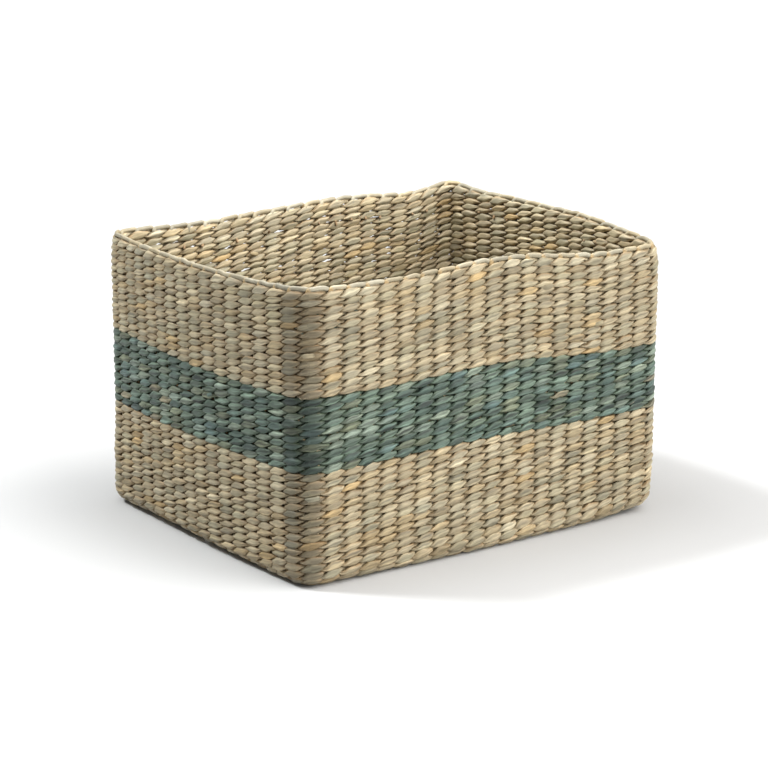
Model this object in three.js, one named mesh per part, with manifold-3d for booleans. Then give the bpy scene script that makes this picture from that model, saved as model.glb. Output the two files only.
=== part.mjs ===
// Rectangular seagrass storage basket, in millimetres, +Z up.
// The origin is the middle of the underside. +X runs along the long side.
//
// Thirty-seven flat stakes run up one wall, under the base and up the wall opposite.
// The twined weave that binds them is one closed ring for each colour band, plus the base,
// and the folded stake ends make the rim border that closes the top edge.

import * as THREE from 'three';
import { mergeVertices } from 'three/addons/utils/BufferGeometryUtils.js';
import Module from 'manifold-3d';

const wasm = await Module();
wasm.setup();

// Driving dimensions
const LENGTH = 370;
const WIDTH = 306;
const HEIGHT = 240;
const WALL = 9;
const CORNER_RADIUS = 21;
const BASE_EDGE_RADIUS = 14;
const END_BOW_BASE = 5;
const END_BOW_RIM = 12;

// Heights where one ring of weave ends and the next begins
const BASE_TOP = 16;
const GREEN_BOTTOM = 94;
const GREEN_TOP = 154;
const RIM_BOTTOM = 235;
const RIM_EASE = 1.5;

// Stakes
const CROSS_STAKE_COUNT = 21;
const CROSS_STAKE_PITCH = 17.3;
const LONG_STAKE_COUNT = 16;
const LONG_STAKE_PITCH = 18;
const STAKE_WIDTH = 5;
const STAKE_THICKNESS = 2.4;
const CROSS_STAKE_LEVEL = 2.5;
const CROSS_STAKE_BEND = 8.5;
const LONG_STAKE_LEVEL = 6.2;
const LONG_STAKE_BEND = 8;

// Clearances and facets
const GAP = 0.3;
const MERGE_DISTANCE = 1e-4;
const CHANNEL_RUN_OUT = 4;
const CORNER_STEPS = 5;
const LONG_SIDE_STEPS = 1;
const END_SIDE_STEPS = 8;
const EDGE_STEPS = 4;
const BEND_STEPS = 3;

const MATERIALS = {
  natural: { color: 0xbdb08f, roughness: 0.82, metalness: 0 },
  green: { color: 0x6f8f80, roughness: 0.82, metalness: 0 },
  stake: { color: 0xa08c63, roughness: 0.88, metalness: 0 },
  rim: { color: 0xd2c8ab, roughness: 0.75, metalness: 0 },
};

// Plan outline

// How far the short end walls belly outwards at a height and a place across the basket.
function endBow(y, z) {
  const bow = THREE.MathUtils.lerp(END_BOW_BASE, END_BOW_RIM, z / HEIGHT);
  return bow * Math.cos((Math.PI * y) / WIDTH);
}

// One point of the outline, moved from the plain rounded rectangle to the bowed one.
function bowedPoint(x, y, z) {
  return new THREE.Vector3(x + Math.sign(x) * endBow(y, z), y, z);
}

// The closed outline of the wall at height z, an inset inwards from the outer face.
function outline(inset, z) {
  const armX = LENGTH / 2 - CORNER_RADIUS;
  const armY = WIDTH / 2 - CORNER_RADIUS;
  const radius = CORNER_RADIUS - inset;
  const points = [];
  const corners = [[1, 1], [-1, 1], [-1, -1], [1, -1]];
  corners.forEach(([signX, signY], index) => {
    for (let step = 0; step <= CORNER_STEPS; step += 1) {
      const angle = (Math.PI / 2) * (index + step / CORNER_STEPS);
      const x = signX * armX + radius * Math.cos(angle);
      const y = signY * armY + radius * Math.sin(angle);
      points.push(bowedPoint(x, y, z));
    }
    const alongX = index % 2 === 0;
    const steps = alongX ? LONG_SIDE_STEPS : END_SIDE_STEPS;
    for (let step = 1; step < steps; step += 1) {
      const travel = 1 - (2 * step) / steps;
      const x = alongX ? signX * armX * travel : signX * (armX + radius);
      const y = alongX ? signY * (armY + radius) : signY * armY * travel;
      points.push(bowedPoint(x, y, z));
    }
  });
  return points;
}

// Where the middle of the wall lies for a stake at a place along the other axis.
function wallMiddle(place, halfSide, otherHalfSide) {
  const radius = CORNER_RADIUS - WALL / 2;
  const intoCorner = Math.max(0, Math.abs(place) - (otherHalfSide - CORNER_RADIUS));
  return halfSide - CORNER_RADIUS + Math.sqrt(radius * radius - intoCorner * intoCorner);
}

// Solids

// Joins rings of equal length into one skin. A closed section meets its own first ring
// again, and an open one is capped at both ends from the middle of the basket.
function skin(rings, closed) {
  const count = rings[0].length;
  const positions = rings.flat().flatMap((p) => [p.x, p.y, p.z]);
  const faces = [];
  const spans = closed ? rings.length : rings.length - 1;
  for (let ring = 0; ring < spans; ring += 1) {
    const here = ring * count;
    const next = ((ring + 1) % rings.length) * count;
    for (let i = 0; i < count; i += 1) {
      const j = (i + 1) % count;
      faces.push(here + i, here + j, next + j, here + i, next + j, next + i);
    }
  }
  if (!closed) {
    const first = positions.length / 3;
    positions.push(0, 0, rings[0][0].z, 0, 0, rings.at(-1)[0].z);
    const lastRing = (rings.length - 1) * count;
    for (let i = 0; i < count; i += 1) {
      const j = (i + 1) % count;
      faces.push(first, j, i, first + 1, lastRing + i, lastRing + j);
    }
  }
  const geometry = new THREE.BufferGeometry();
  geometry.setAttribute('position', new THREE.Float32BufferAttribute(positions, 3));
  geometry.setIndex(faces);
  return geometry;
}

// A ring of weave all round the basket between two heights.
function weaveRing(bottom, top) {
  const section = [[0, bottom], [0, top], [WALL, top], [WALL, bottom]];
  return skin(section.map(([inset, z]) => outline(inset, z)), true);
}

// The base: flat underneath, its edge rounded up into the walls, with a flat floor inside.
function baseTray() {
  const section = [];
  const quarter = Math.PI / 2;
  for (let step = 0; step <= EDGE_STEPS; step += 1) {
    const angle = quarter * (step / EDGE_STEPS);
    const inset = BASE_EDGE_RADIUS * (1 - Math.sin(angle));
    section.push([inset, BASE_EDGE_RADIUS * (1 - Math.cos(angle))]);
  }
  section.push([0, BASE_TOP - GAP / 2]);
  section.push([WALL, BASE_TOP - GAP / 2]);
  const innerRadius = BASE_EDGE_RADIUS - WALL;
  for (let step = EDGE_STEPS; step >= 0; step -= 1) {
    const angle = quarter * (step / EDGE_STEPS);
    const inset = BASE_EDGE_RADIUS - innerRadius * Math.sin(angle);
    section.push([inset, BASE_EDGE_RADIUS - innerRadius * Math.cos(angle)]);
  }
  return skin(section.map(([inset, z]) => outline(inset, z)), false);
}

// The border's section is a flat strip with its upper edges eased.
function rimBorder() {
  const section = [
    [0, RIM_BOTTOM + GAP],
    [0, HEIGHT - RIM_EASE],
    [RIM_EASE, HEIGHT],
    [WALL - RIM_EASE, HEIGHT],
    [WALL, HEIGHT - RIM_EASE],
    [WALL, RIM_BOTTOM + GAP],
  ];
  return skin(section.map(([inset, z]) => outline(inset, z)), true);
}

// One side of a stake's U, from its tip down round the bend to the base.
function stakeSide(reach, lean, top, level, bend, offset) {
  const centreZ = level + bend;
  const wallAt = (z) => reach + lean * z;
  const centreX = wallAt(centreZ) - bend;
  const points = [new THREE.Vector2(wallAt(top) + offset, top)];
  for (let step = 0; step <= BEND_STEPS; step += 1) {
    const angle = (Math.PI / 2) * (step / BEND_STEPS);
    const x = centreX + (bend + offset) * Math.cos(angle);
    const z = centreZ - (bend + offset) * Math.sin(angle);
    points.push(new THREE.Vector2(x, z));
  }
  return points;
}

// A flat stake bent to a U, standing in the plane of its two walls. Grown by a
// clearance, and run out past the tips, it is the tool that cuts its own channel.
function stakeSolid({ reach, lean, level, bend, grow }) {
  const half = STAKE_THICKNESS / 2 + grow;
  const tip = grow > 0 ? HEIGHT + CHANNEL_RUN_OUT : RIM_BOTTOM - GAP;
  const outer = stakeSide(reach, lean, tip, level, bend, half);
  const inner = stakeSide(reach, lean, tip, level, bend, -half);
  const mirror = (points) => points.map((p) => new THREE.Vector2(-p.x, p.y));
  const shape = new THREE.Shape([
    ...outer,
    ...mirror(outer).reverse(),
    ...mirror(inner),
    ...inner.reverse(),
  ]);
  const depth = STAKE_WIDTH + 2 * grow;
  const geometry = new THREE.ExtrudeGeometry(shape, { depth, bevelEnabled: false });
  geometry.translate(0, 0, -depth / 2);
  geometry.rotateX(Math.PI / 2);
  return geometry;
}

// Places along the wall for a row of stakes, centred on the basket.
function stakePlaces(count, pitch) {
  return Array.from({ length: count }, (_, i) => (i - (count - 1) / 2) * pitch);
}

// A cross stake lies across the basket, in the front and back walls.
function crossStake(x, grow) {
  const reach = wallMiddle(x, WIDTH / 2, LENGTH / 2);
  const geometry = stakeSolid({
    reach,
    lean: 0,
    level: CROSS_STAKE_LEVEL,
    bend: CROSS_STAKE_BEND,
    grow,
  });
  geometry.rotateZ(Math.PI / 2);
  geometry.translate(x, 0, 0);
  return geometry;
}

// A long stake lies along the basket, in the two end walls, and leans with their belly.
function longStake(y, grow) {
  const reach = wallMiddle(y, LENGTH / 2, WIDTH / 2) + endBow(y, 0);
  const lean = (endBow(y, HEIGHT) - endBow(y, 0)) / HEIGHT;
  const geometry = stakeSolid({
    reach,
    lean,
    level: LONG_STAKE_LEVEL,
    bend: LONG_STAKE_BEND,
    grow,
  });
  geometry.translate(0, y, 0);
  return geometry;
}

// Cutting

function toManifold(geometry) {
  const bare = geometry.clone();
  bare.deleteAttribute('normal');
  bare.deleteAttribute('uv');
  const merged = mergeVertices(bare, MERGE_DISTANCE);
  return new wasm.Manifold(new wasm.Mesh({
    numProp: 3,
    vertProperties: new Float32Array(merged.attributes.position.array),
    triVerts: new Uint32Array(merged.index.array),
  }));
}

function toGeometry(manifold) {
  const mesh = manifold.getMesh();
  const geometry = new THREE.BufferGeometry();
  geometry.setAttribute('position', new THREE.BufferAttribute(mesh.vertProperties, 3));
  geometry.setIndex(new THREE.BufferAttribute(mesh.triVerts, 1));
  return geometry;
}

// The same solid with a channel for every stake that runs through it.
function withChannels(geometry, channels) {
  let solid = toManifold(geometry);
  channels.forEach((channel) => {
    solid = solid.subtract(channel);
  });
  return toGeometry(solid);
}

// Assembly

const basket = new THREE.Group();

function addMesh(name, geometry, materialName) {
  geometry.computeVertexNormals();
  const mesh = new THREE.Mesh(geometry, new THREE.MeshStandardMaterial(MATERIALS[materialName]));
  mesh.name = name;
  basket.add(mesh);
}

function numbered(name, index) {
  return `${name}_${String(index + 1).padStart(2, '0')}`;
}

const crossPlaces = stakePlaces(CROSS_STAKE_COUNT, CROSS_STAKE_PITCH);
const longPlaces = stakePlaces(LONG_STAKE_COUNT, LONG_STAKE_PITCH);
const channels = [
  ...crossPlaces.map((x) => toManifold(crossStake(x, GAP))),
  ...longPlaces.map((y) => toManifold(longStake(y, GAP))),
];

const lowerBand = weaveRing(BASE_TOP + GAP / 2, GREEN_BOTTOM - GAP / 2);
const greenBand = weaveRing(GREEN_BOTTOM + GAP / 2, GREEN_TOP - GAP / 2);
const upperBand = weaveRing(GREEN_TOP + GAP / 2, RIM_BOTTOM);

addMesh('base_weave', withChannels(baseTray(), channels), 'natural');
addMesh('lower_natural_band', withChannels(lowerBand, channels), 'natural');
addMesh('green_band', withChannels(greenBand, channels), 'green');
addMesh('upper_natural_band', withChannels(upperBand, channels), 'natural');
addMesh('rim_border', rimBorder(), 'rim');
crossPlaces.forEach((x, i) => addMesh(numbered('cross_stake', i), crossStake(x, 0), 'stake'));
longPlaces.forEach((y, i) => addMesh(numbered('long_stake', i), longStake(y, 0), 'stake'));

export default basket;
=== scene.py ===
"""A rectangular storage basket twined from seagrass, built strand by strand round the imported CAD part.

Every weft course is two strands twisted about each other round the stakes. A course is a closed ring:
rings climb the walls, turn round the lower edge and go on as nested rectangles across the floor.
All lengths are in metres.
"""

import math

import bpy
import numpy as np
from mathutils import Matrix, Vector


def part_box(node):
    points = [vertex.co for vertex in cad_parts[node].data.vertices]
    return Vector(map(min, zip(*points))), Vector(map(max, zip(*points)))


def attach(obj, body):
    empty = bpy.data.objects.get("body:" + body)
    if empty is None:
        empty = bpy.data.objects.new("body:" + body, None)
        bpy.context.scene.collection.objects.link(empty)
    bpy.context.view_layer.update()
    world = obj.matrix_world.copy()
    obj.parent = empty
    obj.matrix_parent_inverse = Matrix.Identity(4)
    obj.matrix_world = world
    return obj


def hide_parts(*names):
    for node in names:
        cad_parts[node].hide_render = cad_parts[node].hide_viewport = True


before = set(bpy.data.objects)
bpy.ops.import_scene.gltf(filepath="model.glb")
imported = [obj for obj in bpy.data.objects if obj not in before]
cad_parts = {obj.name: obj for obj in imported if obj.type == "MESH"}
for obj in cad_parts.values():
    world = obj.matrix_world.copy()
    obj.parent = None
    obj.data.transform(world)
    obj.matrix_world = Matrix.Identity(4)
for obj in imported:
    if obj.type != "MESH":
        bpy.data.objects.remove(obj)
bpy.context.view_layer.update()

MM = 0.001
UP = np.array([0.0, 0.0, 1.0])

# ---- driving sizes


def middle(node, axis):
    """Middle of a CAD node along an axis."""
    low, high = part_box(node)
    return (low[axis] + high[axis]) / 2


# Read from the frame
RIM_LOW, RIM_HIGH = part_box("rim_border")
GREEN_LOW, GREEN_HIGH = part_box("green_band")
CROSS_STAKES = sorted(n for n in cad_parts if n.startswith("cross_stake"))
LONG_STAKES = sorted(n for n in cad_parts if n.startswith("long_stake"))
STAKES_X = np.sort([middle(node, 0) for node in CROSS_STAKES])
STAKES_Y = np.sort([middle(node, 1) for node in LONG_STAKES])

# The plan's shape, as the CAD part has it
END_BOW_BASE = 5 * MM
END_BOW_RIM = 12 * MM
WALL = 9 * MM
CORNER_RADIUS = 21 * MM
EDGE_RADIUS = 14 * MM
HEIGHT = RIM_HIGH.z
HALF_WIDTH = RIM_HIGH.y
HALF_LENGTH = RIM_HIGH.x - END_BOW_RIM

# Courses: how many, how large and how slanting their stitches are, and how they wave up and down
UPPER_COURSES = 14
GREEN_COURSES = 10
LOWER_COURSES = 13
EDGE_COURSES = 3
FLOOR_COURSES = 22
TOP_OF_WEAVE = RIM_LOW.z + 0.6 * MM
COURSES_PER_PIECE = 2
FIRST_ROW_SCALE = 1.02
FIRST_ROW_LEAN = 1.1
EDGE_SCALE = 1.12
FLOOR_SCALE = 1.03
ROW_WAVES = (0.2 * MM, 0.12 * MM)
WAVES_PER_ROW = (2, 9)

# A strand's path: how far from the wall's middle it runs, how late it dives to the other side, how it rises
# and falls in its row, and how its stitches slide and reach past the middle between two stakes, in stakes
OFFSET = 2.35 * MM
DIVE = 0.42
SLANT = 0.15 * MM
EDGE_KEEPING = 0.75
SAG_BETWEEN = 0.15 * MM
STITCH_SLIDE = 0.06
STITCH_REACH = 0.24
STITCH_CHANGE = (0.4, 0.6)
STITCH_BLEND = (0.3, 0.7)

# A strand's section: half its thickness and half its height over a stake, and between two stakes where it
# goes in (its head) or comes out (its tail)
THICK_OVER = 1.8 * MM
THICK_BETWEEN = 2.5 * MM
TALL_OVER = 3.45 * MM
TALL_HEAD = 1.45 * MM
TALL_TAIL = 1.25 * MM
TAPER = 0.8
TAPER_LEAN = 0.1
SECTION_FULLNESS = 0.95
STEPS_PER_STITCH = 10
SIDES = 22

# Folds along a strand: how deep, how they turn per stitch, how many broad and fine ones, and their profile
FOLD_DEPTHS = (0.15, 0.4)
FOLD_TWISTS = (0.4, -0.3)
BROAD_FOLDS = 2
FINE_FOLDS = 3.5
BROAD_SHARE = 0.6
FOLD_LEVEL = 0.65
FOLD_SHARPNESS = 1.6

# How much one stitch differs from the next, as standard deviations, and how much of its roll turns outwards
WIDTH_SPREAD = 0.09
THICKNESS_SPREAD = 0.1
DRIFT_SPREAD = 0.18 * MM
STAND_SPREAD = 0.14 * MM
SLOPE_SPREAD = 0.12
ROLL_SPREAD = math.radians(7)
ROLL_OUT_SHARE = 0.5

# See-through slits between two rows: their height, how many of the gaps have one, and their shape
SLIT_OPENING = 0.7 * MM
SLIT_SHARE = 0.02
BACK_SLIT_SHARE = 0.22
FIRST_SLIT_ROW = 2
SLIT_SHAPE = 0.6
SLIT_THINNING = 0.15
SLIT_SIZES = (0.5, 1.0)

# Stakes: flat twisted cords in two crossing layers. The bend: first and last angle in degrees, and number of
# points. The grain is in mm
STAKE_HALF_WIDTH = 2.4 * MM
STAKE_HALF_THICKNESS = 1.15 * MM
STAKE_LAYER = 0.7 * MM
STAKE_SIDES = 10
STAKE_TWIST = 0.9
STAKE_RIDGE = 0.1
STAKE_WALL_STEPS = 26
STAKE_FLOOR_STEPS = 13
STAKE_BEND = (12, 90, 8)
STAKE_TONE_SPREAD = 0.12
STAKE_RIDGE_SHADE = 0.2
STAKE_GRAIN_LENGTH = 900
STAKE_ANY_GRAIN = 500

# Trimmings
STUB_DROP = 21 * MM
STUB_SHARE = 0.6
FIBRE_COUNT = 26
TAIL_COUNT = 12
TRIMMING_STEPS = 12

SEED = 2417


def rgb(red, green, blue):
    """Linear colour of an sRGB triple out of 255."""
    share = np.array([red, green, blue], float) / 255
    return np.where(share <= 0.04045, share / 12.92, ((share + 0.055) / 1.055) ** 2.4)


# Palettes: each colour with its share of the stitches
NATURAL = (
    (rgb(162, 149, 121), 0.44),
    (rgb(155, 146, 120), 0.25),
    (rgb(170, 159, 132), 0.12),
    (rgb(160, 144, 112), 0.11),
    (rgb(150, 142, 116), 0.04),
    (rgb(170, 147, 106), 0.035),
)
FIRST_ROW = (
    (rgb(172, 161, 134), 0.5),
    (rgb(164, 155, 129), 0.3),
    (rgb(171, 157, 126), 0.2),
)
PALE = (
    (rgb(160, 152, 131), 0.5),
    (rgb(152, 144, 123), 0.3),
    (rgb(158, 146, 119), 0.2),
)
GREEN = (
    (rgb(93, 109, 96), 0.34),
    (rgb(82, 99, 90), 0.22),
    (rgb(120, 132, 117), 0.16),
    (rgb(106, 113, 93), 0.12),
    (rgb(68, 84, 75), 0.11),
    (rgb(86, 106, 101), 0.04),
    (rgb(122, 116, 95), 0.02),
)
STAKE_COLOUR = rgb(140, 114, 80)
KNUCKLE_COLOUR = rgb(176, 150, 108)
STUB_COLOUR = rgb(142, 116, 84)
# Warm leaf-edge colours, also the colour that the painted shade in the recess darkens towards
WARM_EDGE_AND_SHADE = rgb(152, 122, 84)
WARM_EDGE_AND_SHADE_GREEN = rgb(92, 104, 80)

# How much the leaves of one strand differ in tone, and a stitch's lightness and warmth from the next one's
NATURAL_STREAK = 0.15
GREEN_STREAK = 0.3
LEAF_KEEPING = 0.75
LIGHTNESS_SPREAD = 0.09
WARMTH_SPREAD = 0.016
WARMTH_BY_CHANNEL = np.array([1, 0, -1.5])
COLOUR_LIMITS = (0.01, 0.9)

# Tints on a stitch, as shares: painted shade on the corner, in folds, at the tail and in the recess; warm
# edges and head; a painted highlight in the middle
CORNER_PAINTED_SHADE = 0.45
FOLD_SHADE = 0.4
TOP_EDGE_WARMTH = 0.65
BOTTOM_EDGE_WARMTH = 0.4
HEAD_WARMTH = 0.3
MOST_WARMTH = 0.9
WARM_MIDDLE = 0.35
WARM_SPREAD = 0.3
MIDDLE_PAINTED_HIGHLIGHT = 0.06
TAIL_SHADE = 0.08
RECESS_PAINTED_SHADE = 0.2
RECESS_SHADE_TONE = 0.9

# Where those tints fade in: along a stitch from its stake in stakes, and up its section from -1 to 1
HEAD_FADE = (0.05, 0.55)
TAIL_FADE = (-0.2, -0.6)
HIGHLIGHT_PLACE = -0.15
HIGHLIGHT_FADE = (0.45, 0.0)
TOP_FADE = (0.45, 1.0)
BOTTOM_FADE = (0.6, 1.0)
HEAD_TOP_FADE = (-0.2, 0.9)
RECESS_SHADE_FADE = (0.5, 0.0)

# Random starts: of a wave or a twist in radians, and of the grain along a strand in mm
ANY_PHASE = 6.3
ANY_TWIST = 6
ANY_GRAIN = 4000


# ---- small maths


def smoothstep(low, high, value):
    """From 0 at low to 1 at high. With low above high it falls instead of rising."""
    t = np.clip((value - low) / (high - low), 0, 1)
    return t * t * (3 - 2 * t)


def travelled(line):
    """Distance along a line of points to each of them."""
    return np.concatenate([[0], np.cumsum(np.linalg.norm(np.diff(line, axis=0), axis=1))])


def unit(vectors):
    return vectors / np.maximum(np.linalg.norm(vectors, axis=-1, keepdims=True), 1e-12)


def pick_colours(rng, palette, count):
    """One colour for each stitch, drawn from the palette and shifted a little in lightness and warmth."""
    shares = np.array([share for _, share in palette])
    chosen = rng.choice(len(palette), count, p=shares / shares.sum())
    colours = np.array([colour for colour, _ in palette])[chosen]
    lightness = 1 + LIGHTNESS_SPREAD * rng.standard_normal((count, 1))
    warmth = 1 + WARMTH_SPREAD * rng.standard_normal((count, 1)) * WARMTH_BY_CHANNEL
    return np.clip(colours * lightness * warmth, *COLOUR_LIMITS)


# ---- the basket's form


def end_bow(y, z):
    """How far the short end walls belly out."""
    bow = END_BOW_BASE + (END_BOW_RIM - END_BOW_BASE) * np.clip(z / HEIGHT, 0, 1)
    return bow * np.cos(np.pi * y / (2 * HALF_WIDTH))


# Where the soft basket departs from its plain form. Each row, in mm: a place, how far its pull reaches
# along x, y and z, and the shift there.
PULLS = (
    ((0, -153, 240), (60, 90, 110), (0, 0, 4.0)),
    ((115, -153, 240), (48, 90, 110), (0, 0, -5.0)),
    ((-185, -153, 240), (45, 45, 90), (0, 0, 2.6)),
    ((185, -153, 240), (45, 45, 100), (0, 0, -3.5)),
    ((185, -153, 242), (40, 40, 14), (-3.5, 1.0, 0)),
    ((-185, 153, 242), (40, 40, 16), (1.5, -1.0, 0.8)),
    ((185, 153, 240), (26, 34, 80), (0, 0, 4.5)),
    ((185, 153, 120), (15, 15, 300), (8.5, 8.5, 0)),
    ((190, -100, 240), (40, 50, 90), (0, 0, -2.2)),
    ((185, -153, 0), (50, 50, 26), (-2.5, 1.0, 4.0)),
    ((20, -153, 5), (130, 24, 14), (0, -3.5, -1.6)),
    ((-185, 153, 20), (60, 60, 60), (-2.5, 1.0, 0)),
    ((-190, 150, 154), (70, 120, 35), (0, 0, 3.0)),
    ((-190, 90, 94), (60, 80, 35), (0, 0, -2.5)),
    ((185, -153, 154), (120, 60, 40), (0, 0, -2.2)),
    ((-20, -153, 130), (90, 80, 80), (0, -1.2, 1.4)),
    ((60, -153, 60), (70, 60, 60), (0, 1.4, 0)),
    ((-100, 153, 240), (80, 60, 90), (0, 0, -4.0)),
    ((50, 153, 240), (60, 60, 90), (0, 0, 1.6)),
    ((130, 153, 240), (30, 40, 80), (0, 0, -2.5)),
    ((120, 153, 110), (70, 60, 70), (0, 2.2, 0)),
    ((-70, 153, 120), (70, 60, 70), (0, -1.8, 0)),
    ((-190, 30, 0), (60, 80, 22), (0, 0, 1.6)),
    ((190, 60, 120), (60, 60, 70), (1.8, 0, 0)),
    ((190, -60, 150), (60, 60, 70), (-1.4, 0, 0)),
)


def settle(points):
    """Moves points by the soft basket's departures from the plain form."""
    moved = points.copy()
    for place, reach, shift in PULLS:
        away = (points - np.array(place) * MM) / (np.array(reach) * MM)
        share = np.exp(-(away**2).sum(-1, keepdims=True))
        moved += share * np.array(shift) * MM
    return moved


class Ring:
    """The closed middle line of a course, with the places where it passes the stakes."""

    STEP = 1.2 * MM
    TANGENT_STEP = 2 * MM
    ARC_POINTS = 13
    LEAST_CORNER = 3 * MM
    LARGEST_CORNER_SHARE = 0.9
    CORNER_DIAGONAL = 1 - math.sqrt(0.5)
    WIDEST_GAP = 27 * MM
    USUAL_GAP = 0.66 * WIDEST_GAP

    def __init__(self, inset, height, tilt):
        self.height = height
        self.tilt = tilt
        half_x = HALF_LENGTH - inset
        half_y = HALF_WIDTH - inset
        radius = max(CORNER_RADIUS - inset, self.LEAST_CORNER)
        radius = min(radius, self.LARGEST_CORNER_SHARE * half_y)
        plain = self._rounded_rectangle(half_x, half_y, radius)
        reach = (half_x - radius * self.CORNER_DIAGONAL, half_y - radius * self.CORNER_DIAGONAL)
        bow_share = half_x / HALF_LENGTH
        bowed = plain.copy()
        bowed[:, 0] += np.sign(plain[:, 0]) * end_bow(plain[:, 1], height) * bow_share
        self.points = np.vstack([bowed, bowed[:1]])
        self.lengths = travelled(self.points)
        self.length = self.lengths[-1]
        self.stakes = self._stake_places(plain, reach)
        self.count = len(self.stakes)

    def _rounded_rectangle(self, half_x, half_y, radius):
        """Evenly spaced points from the middle of the front left corner, anticlockwise from above."""
        arm_x, arm_y = half_x - radius, half_y - radius
        corners = ((-1, -1, 225, 270), (1, -1, 270, 360), (1, 1, 0, 90), (-1, 1, 90, 180), (-1, -1, 180, 225))
        rough = []
        for sign_x, sign_y, start, stop in corners:
            for angle in np.radians(np.linspace(start, stop, self.ARC_POINTS)):
                x = sign_x * arm_x + radius * math.cos(angle)
                y = sign_y * arm_y + radius * math.sin(angle)
                rough.append((x, y))
        rough = np.array(rough)
        along = travelled(rough)
        even = np.linspace(0, along[-1], int(along[-1] / self.STEP), endpoint=False)
        return np.stack([np.interp(even, along, rough[:, axis]) for axis in (0, 1)], 1)

    def _stake_places(self, plain, reach):
        """Distances along the ring at which it passes a stake, with more stitches in a wide corner gap."""
        x, y = plain.T
        along = self.lengths[:-1]
        at_x = STAKES_X[np.abs(STAKES_X) < reach[0]]
        at_y = STAKES_Y[np.abs(STAKES_Y) < reach[1]]
        first_half = along < self.length / 2
        front = (y < 0) & (np.abs(x) <= reach[0]) & first_half
        right = (x > 0) & (np.abs(y) < reach[1])
        back = (y > 0) & (np.abs(x) <= reach[0])
        left = (x < 0) & (np.abs(y) < reach[1]) & ~first_half
        walls = ((at_x, x, front), (at_y, y, right), (at_x, -x, back), (at_y, -y, left))
        places = np.concatenate([np.interp(at, way[on], along[on]) for at, way, on in walls])
        gaps = np.diff(np.append(places, places[0] + self.length))
        extra = [p + g * part for p, g in zip(places, gaps) for part in self._parts(g)]
        return np.sort(np.concatenate([places, extra]) % self.length)

    def _parts(self, gap):
        """Where the extra twists go in a gap that is too wide for one stitch."""
        spans = max(1, round(gap / self.USUAL_GAP)) if gap > self.WIDEST_GAP else 1
        return [i / spans for i in range(1, spans)]

    def on_front_left_corner(self):
        """Whether each stake stands on that corner, the one that gets a painted shade."""
        spot, _, _ = self.frame_at(np.arange(self.count, dtype=float))
        past_x = spot[:, 0] < CORNER_RADIUS - HALF_LENGTH
        past_y = spot[:, 1] < CORNER_RADIUS - HALF_WIDTH
        return past_x & past_y

    def distance(self, u):
        """Distance along the ring for a place counted in stakes."""
        known = np.concatenate([[self.stakes[-1] - self.length], self.stakes, [self.stakes[0] + self.length]])
        counted = np.arange(-1, self.count + 1)
        laps = np.floor(u / self.count)
        return np.interp(u - laps * self.count, counted, known) + laps * self.length

    def _spot(self, along):
        """Plan position at distances along the ring."""
        lap = along % self.length
        return np.stack([np.interp(lap, self.lengths, self.points[:, axis]) for axis in (0, 1)], -1)

    def frame_at(self, u):
        """Middle of the weave, the way out of it, and the way up it, at places counted in stakes."""
        along = self.distance(u)
        spot = self._spot(along)
        tangent = unit(self._spot(along + self.TANGENT_STEP) - self._spot(along - self.TANGENT_STEP))
        level_out = np.stack([tangent[:, 1], -tangent[:, 0], np.zeros(len(along))], 1)
        centre = np.column_stack([spot, np.full(len(along), self.height)])
        out = math.cos(self.tilt) * level_out - math.sin(self.tilt) * UP
        rise = math.sin(self.tilt) * level_out + math.cos(self.tilt) * UP
        return centre, out, rise


# ---- mesh assembly

LOWEST_POINT = 0.05 * MM


def added(name, data):
    """A new object in the scene."""
    thing = bpy.data.objects.new(name, data)
    bpy.context.scene.collection.objects.link(thing)
    return thing


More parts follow.
